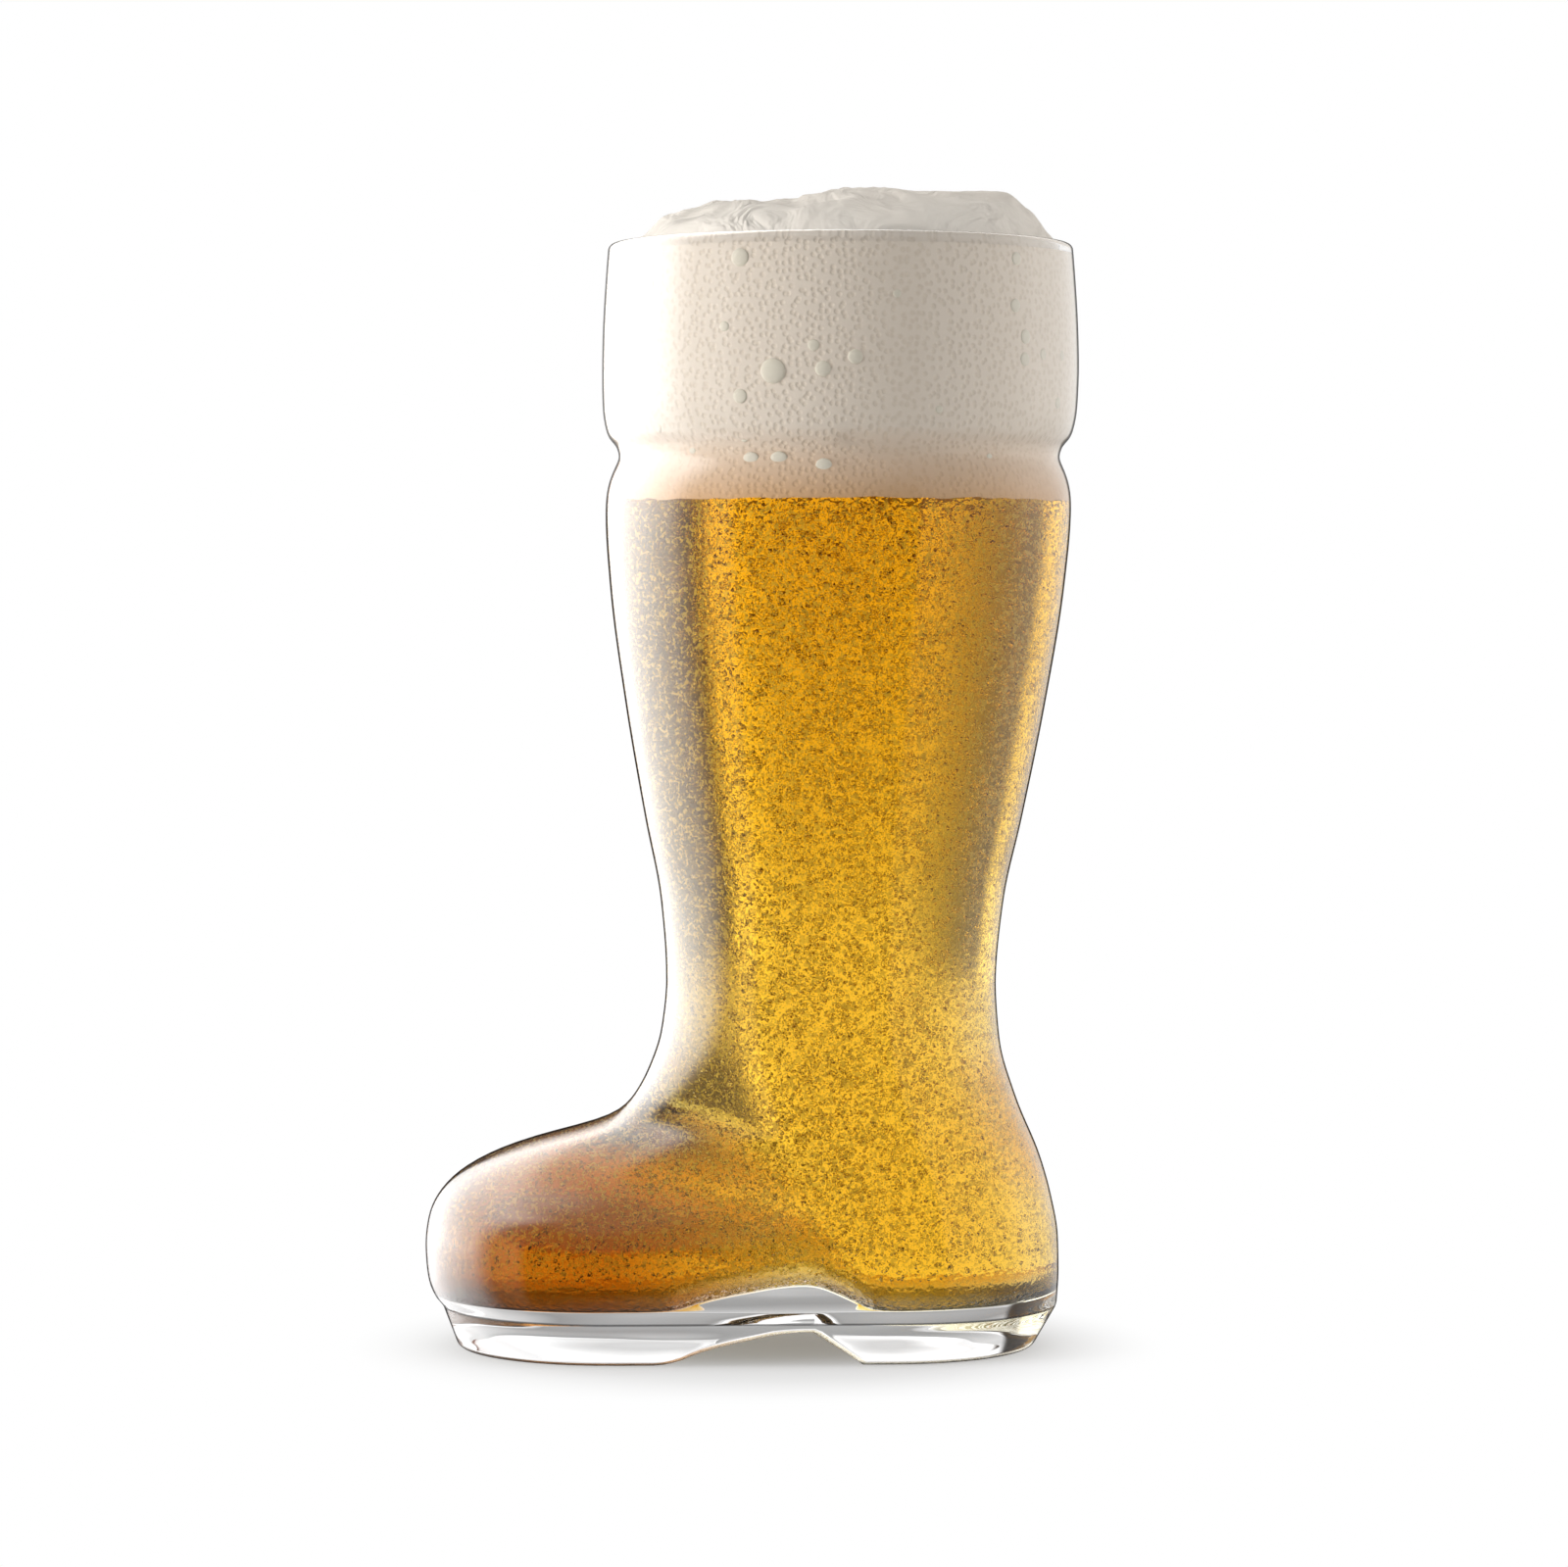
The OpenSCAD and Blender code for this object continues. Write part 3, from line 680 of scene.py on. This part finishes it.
def make_bubbles(name, number, low, high):
    """Bubbles in the beer between two heights, each a ball of 20 facets, spread about evenly."""
    clear_of_wall, least_r, most_r = 0.8, 0.16, 0.42
    ball = bmesh.new()
    bmesh.ops.create_icosphere(ball, subdivisions=1, radius=1)
    for f in ball.faces:
        f.smooth = True
    one = bpy.data.meshes.new("bubble")
    ball.to_mesh(one)
    ball.free()
    bm = bmesh.new()
    sections = [inner_section(z, clear_of_wall) for z in range(int(low), int(high) + 1)]
    widest = max(s[2] * (s[1] - s[0]) for s in sections)
    made = 0
    while made < number:
        z = rng.uniform(low, high)
        s = sections[int(z - low)]
        if rng.random() * widest > s[2] * (s[1] - s[0]):
            continue
        p = side_point(s, rng.random())
        middle = Vector((mix(s[0], s[1], 0.5), 0, 0))
        p = middle.lerp(p, rng.random() ** 0.5)
        p.y *= rng.choice((-1, 1))
        r = rng.uniform(least_r, most_r)
        grow = Matrix.Translation(Vector((p.x, p.y, z)) * MM) @ Matrix.Scale(r * MM, 4)
        one.transform(grow)
        bm.from_mesh(one)
        one.transform(grow.inverted())
        made += 1
    piece(name, bm, [gas])


def wide_bubble():
    """A wide bubble among the foam's small ones: a smooth film over beige foam, with a painted
    highlight that makes it whitest towards its edge."""
    material, t = new_material("wide_foam_bubble")
    glance = add(t, "ShaderNodeLayerWeight", Blend=0.5)
    # Painted highlight: the film's colour whitens towards its edge
    edge = add(t, "ShaderNodeMapRange", Value=glance.outputs["Facing"], From_Min=0.35,
               From_Max=0.8)
    skin = add(t, "ShaderNodeMix", {"data_type": "RGBA"}, Factor=edge.outputs[0],
               in_6=colour("#e0d8c6"), in_7=colour("#fffaf2"))
    film = add(t, "ShaderNodeBsdfPrincipled", Base_Color=skin.outputs[2], Roughness=0.2)
    add(t, "ShaderNodeOutputMaterial", Surface=film.outputs[0])
    return material


# Wide bubbles against the glass on the side seen in the photograph: x, height and radius
wide_bubbles = [(5, 206.3, 2.6), (15, 206.7, 1.6), (21.5, 209.1, 1.5), (-1.6, 229.5, 1.9),
                (-1.6, 201.3, 1.5), (0.6, 188.2, 1.7), (6.2, 188.2, 1.8), (15.2, 186.6, 1.7)]


def make_wide_bubbles():
    """Those bubbles, and others all round the foam, each a flat lens half sunk in it."""
    others, flatness = 60, 0.3
    bm = bmesh.new()
    places = [(x, -1, z, r) for x, z, r in wide_bubbles]
    for k in range(others):
        z, r = rng.uniform(beer_z + 3, rim_z - 3), rng.uniform(0.7, 1.5)
        s = inner_section(z)
        places.append((mix(s[0], s[1], 0.5 + 0.47 * math.sin(rng.uniform(-1.5, 1.5))),
                       -1 if k % 3 == 0 else 1, z, r))
    for x, side, z, r in places:
        s = inner_section(z, pressed_on)
        middle = (s[0] + s[1]) / 2
        radius = (s[1] - s[0]) / 2
        y = side * math.sqrt(radius ** 2 - (x - middle) ** 2)
        out = Vector((x - middle, y, 0)).normalized()
        turn = out.to_track_quat("X", "Z").to_matrix().to_4x4()
        shape = Matrix.Translation(Vector((x, y, z)) * MM) @ turn @ Matrix.Diagonal(
            (flatness * r * MM, r * MM, r * MM, 1))
        bmesh.ops.create_icosphere(bm, subdivisions=3, radius=1, matrix=shape)
    piece("bubbles_foam", bm, [wide_bubble()])


# The bubbles in the beer come in three pieces, which meet at these heights
instep_z, shin_z = 70, 130
gas = carbon_dioxide()
make_glass()
make_beer()
make_foam()
make_wide_bubbles()
make_bubbles("bubbles_calf", 9500, shin_z, beer_z - 1)
make_bubbles("bubbles_ankle", 8500, instep_z, shin_z)
make_bubbles("bubbles_foot", 9500, floor_t + 6, instep_z)


# ---------------------------------------------------------------- studio
# What has been bent more often than this has come through the beer, and not only through glass
beer_bends = 3.5


def ramp(tree, angle, levels, top):
    """Light that changes with an angle, which is a share of a full turn where 0.5 stands for 0
    degrees. Levels are pairs of degrees and brightness, and none is brighter than top. Degrees
    are counted from the front towards the heel, or up from the level."""
    node = add(tree, "ShaderNodeValToRGB", Fac=angle)
    stops = node.color_ramp.elements
    for k, (degrees, level) in enumerate(levels):
        at = degrees / 360 + 0.5
        stop = stops[k] if k < 2 else stops.new(at)
        stop.position = at
        stop.color = (level / top,) * 3 + (1,)
    return add(tree, "ShaderNodeMath", {"operation": "MULTIPLY"}, in_0=node.outputs[0],
               in_1=top).outputs[0]


def make_world():
    """White behind the object, and a photographer's studio in what the glass bends and mirrors:
    a tall bank of light to the left, a weaker one to the right, and dark gaps between. Overhead
    the light stands behind the object and to its left."""
    world = bpy.data.worlds.new("studio")
    world.use_nodes = True
    scene.world = world
    t = world.node_tree
    t.nodes.clear()
    way = add(t, "ShaderNodeSeparateXYZ", Vector=add(t, "ShaderNodeTexCoord").outputs["Generated"])
    back = add(t, "ShaderNodeMath", {"operation": "MULTIPLY"}, in_0=way.outputs["Y"], in_1=-1.0)
    turn = add(t, "ShaderNodeMath", {"operation": "ARCTAN2"}, in_0=way.outputs["X"],
               in_1=back.outputs[0])
    around = add(t, "ShaderNodeMath", {"operation": "MULTIPLY_ADD"}, in_0=turn.outputs[0],
                 in_1=0.5 / math.pi, in_2=0.5).outputs[0]
    tilt = add(t, "ShaderNodeMath", {"operation": "ARCSINE"}, in_0=way.outputs["Z"])
    above = add(t, "ShaderNodeMath", {"operation": "MULTIPLY_ADD"}, in_0=tilt.outputs[0],
                in_1=0.5 / math.pi, in_2=0.5).outputs[0]
    # Mirrored light, round the object: it fades below the level, towards the table
    mirrored = ramp(t, around, [
        (-180, 0.1), (-165, 0.1), (-162, 2.5), (-143, 6.0), (-125, 7.5), (-110, 8.0), (-93, 6.0),
        (-82, 2.2), (-75, 0.8), (-58, 0.8), (-51, 0.03), (38, 0.02), (42, 0.35), (75, 0.6),
        (92, 1.0), (108, 1.5), (131, 1.3), (150, 1.3), (162, 1.0), (165, 0.1), (180, 0.1)], 10)
    dimmed = ramp(t, above, [(-90, 0.2), (-45, 0.25), (-25, 0.55), (-14, 0.65), (-6, 0.85),
                             (0, 1.0), (90, 1.0)], 1)
    mirrored = add(t, "ShaderNodeMath", {"operation": "MULTIPLY"}, in_0=mirrored,
                   in_1=dimmed).outputs[0]
    # Higher up the mirrored light is another, and straight above it is dim
    aloft = ramp(t, around, [
        (-180, 5.0), (-160, 6.4), (-95, 6.4), (-82, 3.5), (-74, 1.2), (-62, 0.5), (-40, 0.3),
        (60, 0.4), (140, 0.8), (165, 2.5), (180, 5.0)], 10)
    overhead = add(t, "ShaderNodeMapRange", {"interpolation_type": "SMOOTHSTEP"},
                   Value=above, From_Min=0.5 + 12 / 360, From_Max=0.5 + 42 / 360)
    mirrored = add(t, "ShaderNodeMix", {"data_type": "FLOAT"}, Factor=overhead.outputs[0],
                   A=mirrored, B=aloft).outputs[0]
    zenith = add(t, "ShaderNodeMapRange", {"interpolation_type": "SMOOTHSTEP"},
                 Value=above, From_Min=0.5 + 54 / 360, From_Max=0.5 + 84 / 360)
    mirrored = add(t, "ShaderNodeMix", {"data_type": "FLOAT"}, Factor=zenith.outputs[0],
                   A=mirrored, B=0.8).outputs[0]
    # Light bent through the filled glass: banks with hard edges from the level up, soft ones below
    filled = ramp(t, around, [
        (-180, 1.15), (-169, 1.15), (-164, 0.75), (-157, 0.35), (-147, 0.18), (-142.5, 0.18),
        (-140.5, 1.9), (-118, 1.9), (-112, 0.85), (-60, 0.9), (60, 0.8),
        (100, 0.5), (140, 0.14), (161, 0.1), (163, 1.7), (168, 1.5), (171, 1.15),
        (180, 1.15)], 2)
    soft = ramp(t, around, [
        (-180, 1.0), (-60, 0.9), (60, 0.2), (90, 0.08), (120, 0.13), (145, 0.4), (160, 0.8),
        (172, 1.0), (180, 1.0)], 1)
    low = ramp(t, above, [(-90, 0.4), (-40, 0.5), (-33, 0.6), (-26, 0.8), (-19, 1.1), (-12, 1.35),
                          (-5, 1.3), (2, 1.1), (13, 1.0), (16, 0.3), (24, 0.4), (34, 0.8),
                          (90, 0.7)], 2)
    level_on = add(t, "ShaderNodeMapRange", {"interpolation_type": "SMOOTHSTEP"}, Value=above,
                   From_Min=0.5 - 7 / 360, From_Max=0.5 + 1 / 360)
    filled = add(t, "ShaderNodeMix", {"data_type": "FLOAT"}, Factor=level_on.outputs[0],
                 A=soft, B=filled).outputs[0]
    filled = add(t, "ShaderNodeMath", {"operation": "MULTIPLY"}, in_0=filled, in_1=low).outputs[0]
    # Solid glass, such as the sole, bends light further and shows the studio's darker parts
    solid = add(t, "ShaderNodeMath", {"operation": "MULTIPLY"}, in_0=ramp(t, above, [
        (-90, 0.9), (-12, 0.95), (-4, 0.9), (0, 0.8), (3, 0.5), (7, 0.35), (9, 0.62),
        (11.5, 0.8), (13, 0.7), (15, 1.2), (18, 1.2), (20, 1.0), (22.5, 1.2), (26, 1.2),
        (45, 1.0), (60, 0.5), (90, 0.5)], 1.2), in_1=ramp(t, around, [
            (-180, 1.0), (-149, 1.0), (-146, 0.02), (-116, 0.02), (-112, 1.0), (180, 1.0)], 1))
    path = add(t, "ShaderNodeLightPath")
    past_beer = add(t, "ShaderNodeMath", {"operation": "GREATER_THAN"},
                    in_0=path.outputs["Transmission Depth"], in_1=beer_bends)
    bent = add(t, "ShaderNodeMix", {"data_type": "FLOAT"}, Factor=past_beer.outputs[0],
               A=solid.outputs[0], B=filled).outputs[0]
    glossy = add(t, "ShaderNodeMix", {"data_type": "FLOAT"},
                 Factor=path.outputs["Is Transmission Ray"], A=mirrored, B=bent)
    # The camera sees white, and what lights matt surfaces is an even grey
    shown = add(t, "ShaderNodeMix", {"data_type": "FLOAT"}, Factor=path.outputs["Is Camera Ray"],
                A=glossy.outputs[0], B=1.0)
    seen = add(t, "ShaderNodeMath", {"operation": "MAXIMUM"}, in_0=path.outputs["Is Glossy Ray"],
               in_1=path.outputs["Is Transmission Ray"])
    seen = add(t, "ShaderNodeMath", {"operation": "MAXIMUM"}, in_0=seen.outputs[0],
               in_1=path.outputs["Is Camera Ray"])
    level = add(t, "ShaderNodeMix", {"data_type": "FLOAT"}, Factor=seen.outputs[0],
                A=0.4, B=shown.outputs[0])
    # Light from the table, well below the level, is warmer: only the beer shows that
    from_afar = add(t, "ShaderNodeMapRange", {"interpolation_type": "SMOOTHSTEP"}, Value=above,
                    From_Min=0.5 - 24 / 360, From_Max=0.5 - 11 / 360)
    from_table = add(t, "ShaderNodeMath", {"operation": "SUBTRACT", "use_clamp": True},
                     in_0=past_beer.outputs[0], in_1=from_afar.outputs[0])
    warmth = add(t, "ShaderNodeMix", {"data_type": "RGBA"}, Factor=from_table.outputs[0],
                 in_6=colour("#ffffff"), in_7=colour("#ffdfc0"))
    light = add(t, "ShaderNodeBackground", Color=warmth.outputs[2], Strength=level.outputs[0])
    add(t, "ShaderNodeOutputWorld", Surface=light.outputs[0])


def make_floor():
    """A plain pale floor that keeps the shadow near the boot and fades to white further out,
    about 45 to 85 mm from its middle."""
    bm = bmesh.new()
    bmesh.ops.create_circle(bm, cap_ends=True, segments=96, radius=4)
    mesh = bpy.data.meshes.new("floor")
    bm.to_mesh(mesh)
    bm.free()
    floor = bpy.data.objects.new("floor", mesh)
    floor.location = (0, 0, -0.0001)
    scene.collection.objects.link(floor)
    material, t = new_material("matt_white_board")
    place = add(t, "ShaderNodeTexCoord").outputs["Object"]
    near = add(t, "ShaderNodeMapping", Vector=place, Scale=(0.95, 1, 0))
    out = add(t, "ShaderNodeVectorMath", {"operation": "LENGTH"}, in_0=near.outputs[0])
    far = add(t, "ShaderNodeMapRange", {"interpolation_type": "SMOOTHSTEP"},
              Value=out.outputs["Value"], From_Min=0.045, From_Max=0.085)
    path = add(t, "ShaderNodeLightPath")
    camera, bent = path.outputs["Is Camera Ray"], path.outputs["Is Transmission Ray"]
    white = add(t, "ShaderNodeMath", {"operation": "MULTIPLY"}, in_0=far.outputs[0], in_1=camera)
    past_beer = add(t, "ShaderNodeMath", {"operation": "GREATER_THAN"},
                    in_0=path.outputs["Transmission Depth"], in_1=beer_bends)
    board = add(t, "ShaderNodeBsdfDiffuse", Color=colour("#f0f0f0"))
    glow = add(t, "ShaderNodeEmission", Color=(1, 1, 1, 1), Strength=1.0)
    lift = add(t, "ShaderNodeMath", {"operation": "MULTIPLY"}, in_0=0.2, in_1=camera)
    lifted = add(t, "ShaderNodeEmission", Color=(1, 1, 1, 1), Strength=lift.outputs[0])
    lit = add(t, "ShaderNodeAddShader", in_0=board.outputs[0], in_1=lifted.outputs[0])
    both = add(t, "ShaderNodeMixShader", in_0=white.outputs[0], in_1=lit.outputs[0],
               in_2=glow.outputs[0])
    # The board is small: past it the glass mirrors and bends what stands round the table
    wide = add(t, "ShaderNodeMapRange", {"interpolation_type": "SMOOTHSTEP"},
               Value=out.outputs["Value"], From_Min=0.1, From_Max=0.4)
    mirror = add(t, "ShaderNodeMath", {"operation": "SUBTRACT", "use_clamp": True},
                 in_0=path.outputs["Is Glossy Ray"], in_1=bent)
    mirrored = add(t, "ShaderNodeMath", {"operation": "MULTIPLY"}, in_0=mirror.outputs[0],
                   in_1=far.outputs[0])
    beyond = add(t, "ShaderNodeMath", {"operation": "MAXIMUM"}, in_0=wide.outputs[0],
                 in_1=past_beer.outputs[0])
    gone = add(t, "ShaderNodeMath", {"operation": "MULTIPLY_ADD"}, in_0=beyond.outputs[0],
               in_1=bent, in_2=mirrored.outputs[0])
    both = add(t, "ShaderNodeMixShader", in_0=gone.outputs[0], in_1=both.outputs[0],
               in_2=add(t, "ShaderNodeBsdfTransparent").outputs[0])
    add(t, "ShaderNodeOutputMaterial", Surface=both.outputs[0])
    mesh.materials.append(material)


def make_lamp(name, place, width, height, watts):
    """A soft box of light aimed at the cuff, unseen in the glass. Lengths are in metres."""
    data = bpy.data.lights.new(name, "AREA")
    data.shape, data.size, data.size_y, data.energy = "RECTANGLE", width, height, watts
    lamp = bpy.data.objects.new(name, data)
    lamp.location = place
    aim = Vector((0.02, 0, 0.2)) - Vector(place)
    lamp.rotation_euler = aim.to_track_quat("-Z", "Y").to_euler()
    lamp.visible_camera = lamp.visible_glossy = lamp.visible_transmission = False
    scene.collection.objects.link(lamp)


def make_camera():
    """The photograph's view: level with the calf, a little over a metre away. Its focal length
    is 5276 pixels of the photograph, which is 1600 wide."""
    data = bpy.data.cameras.new("camera")
    data.sensor_width, data.lens = 36, 36 * 5276 / 1600
    data.clip_start, data.clip_end = 0.05, 20
    camera = bpy.data.objects.new("camera", data)
    camera.location = (0.007, -1.104, 0.1621)
    camera.rotation_euler = (math.radians(90 - 2.17), 0, 0)
    scene.collection.objects.link(camera)
    scene.camera = camera


make_world()
make_floor()
make_lamp("bank_left", (-0.88, -0.3, 0.3), 0.5, 0.9, 10)
make_lamp("bank_right", (0.95, -0.1, 0.35), 0.5, 0.9, 4)
make_lamp("bank_over", (0.0, 0.1, 1.2), 0.8, 0.8, 1.5)
make_camera()
scene.view_settings.view_transform = "Standard"
# Light reaches the filling straight through the wall, so no light needs to find its way bent
scene.cycles.caustics_refractive = scene.cycles.caustics_reflective = False
scene.cycles.max_bounces = scene.cycles.transmission_bounces = 20
